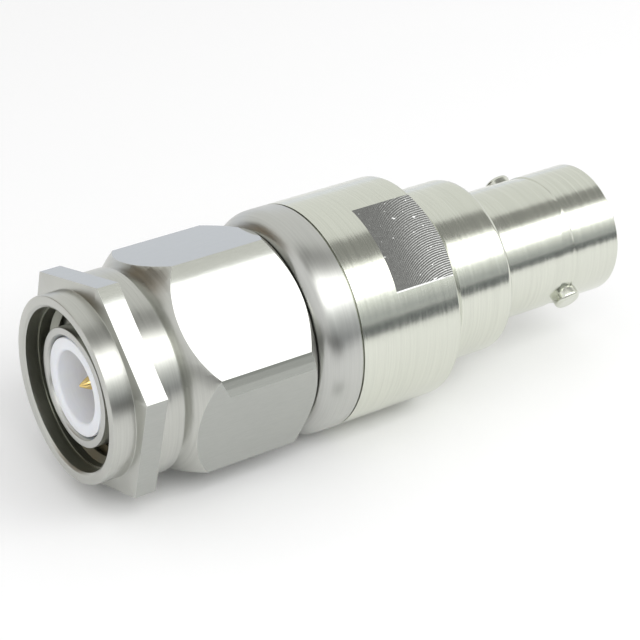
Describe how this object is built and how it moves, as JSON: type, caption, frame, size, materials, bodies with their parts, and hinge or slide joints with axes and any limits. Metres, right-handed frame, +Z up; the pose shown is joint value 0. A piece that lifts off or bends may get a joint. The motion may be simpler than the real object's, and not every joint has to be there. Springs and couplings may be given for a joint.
{
  "type": "coaxial adapter",
  "caption": "Straight coaxial adapter with a threaded plug and loose hex coupling nut at one end and a bayonet jack at the other.",
  "frame": {"origin": "on the ground under the middle of the adapter's length, as it lies on its side", "axes": "+X along the axis from the threaded plug to the bayonet jack, +Z up, -Y towards the side with the near wrench flat"},
  "size_m": [0.0434, 0.016, 0.0161],
  "materials": {
    "turned_nickel": "turned and milled, nickel plated",
    "bright_nickel": "finely turned, bright nickel plated",
    "brushed_nickel": "brushed round the axis, nickel plated",
    "contact_gold": "gold plated",
    "inner_brass": "plain turned",
    "spring_bronze": "plain",
    "white_insulator": "turned fluoropolymer",
    "seal_rubber": "moulded silicone"
  },
  "bodies": {
    "adapter": {"main_body": "brushed_nickel", "plug_body": "bright_nickel", "plug_insulator": "white_insulator", "plug_line_tube": "inner_brass", "support_bead": "white_insulator", "jack_line_tube": "inner_brass", "jack_insulator": "white_insulator", "centre_pin": "contact_gold", "centre_socket": "contact_gold", "snap_ring": "spring_bronze", "coupling_gasket": "seal_rubber"},
    "nut": {"coupling_nut": "turned_nickel"}
  },
  "joints": [
    {"name": "nut_spin", "type": "hinge", "parent": "adapter", "child": "nut", "pos_m": [-0.01413, 0, 0.00805], "axis": [1, 0, 0], "continuous": true}
  ]
}
